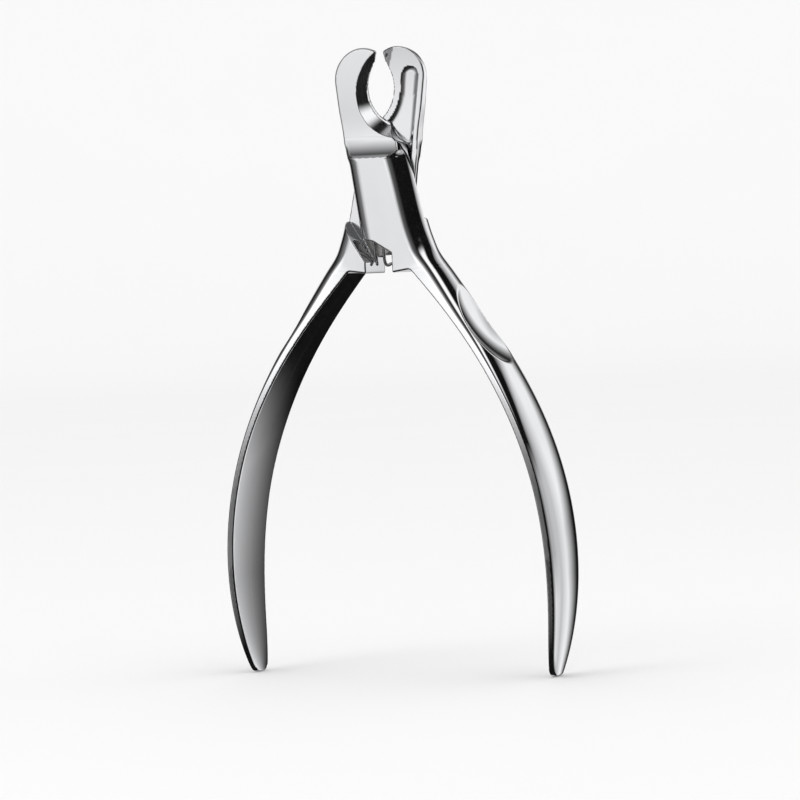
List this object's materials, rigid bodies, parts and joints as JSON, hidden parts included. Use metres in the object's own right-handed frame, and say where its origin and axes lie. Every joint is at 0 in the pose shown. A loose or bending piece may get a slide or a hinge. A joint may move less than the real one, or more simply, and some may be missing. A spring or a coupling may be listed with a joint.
{
  "type": "scissor nail clipper",
  "caption": "Scissor-type pet nail clipper in polished steel: lapped levers cross at a pivot, with a round cutting notch between the jaws and long curved spring-opened handles.",
  "frame": {"origin": "bottom centre of the bounding box at rest: midway between the handles, at the height of the handle tips", "axes": "+Z along the tool from the handle tips to the jaws; +Y from front to back, along the pivot; +X to the right seen from the front"},
  "size_m": [0.07, 0.014, 0.1195],
  "materials": {
    "front_lever_steel": "mirror-polished stainless steel",
    "rear_lever_steel": "mirror-polished stainless steel",
    "screw_steel": "turned stainless steel",
    "spring_wire": "drawn spring wire"
  },
  "bodies": {
    "front_half": {"front_lever": "front_lever_steel", "pivot_screw": "screw_steel", "return_spring": "spring_wire"},
    "rear_half": {"rear_lever": "rear_lever_steel"}
  },
  "joints": [
    {"name": "pivot", "type": "hinge", "parent": "front_half", "child": "rear_half", "pos_m": [0, 0, 0.09052], "axis": [0, -1, 0], "range_deg": [0, 22.5], "stiffness_Nm_per_rad": 0.04, "springref_deg": -11.46, "deforming": ["return_spring"]}
  ]
}
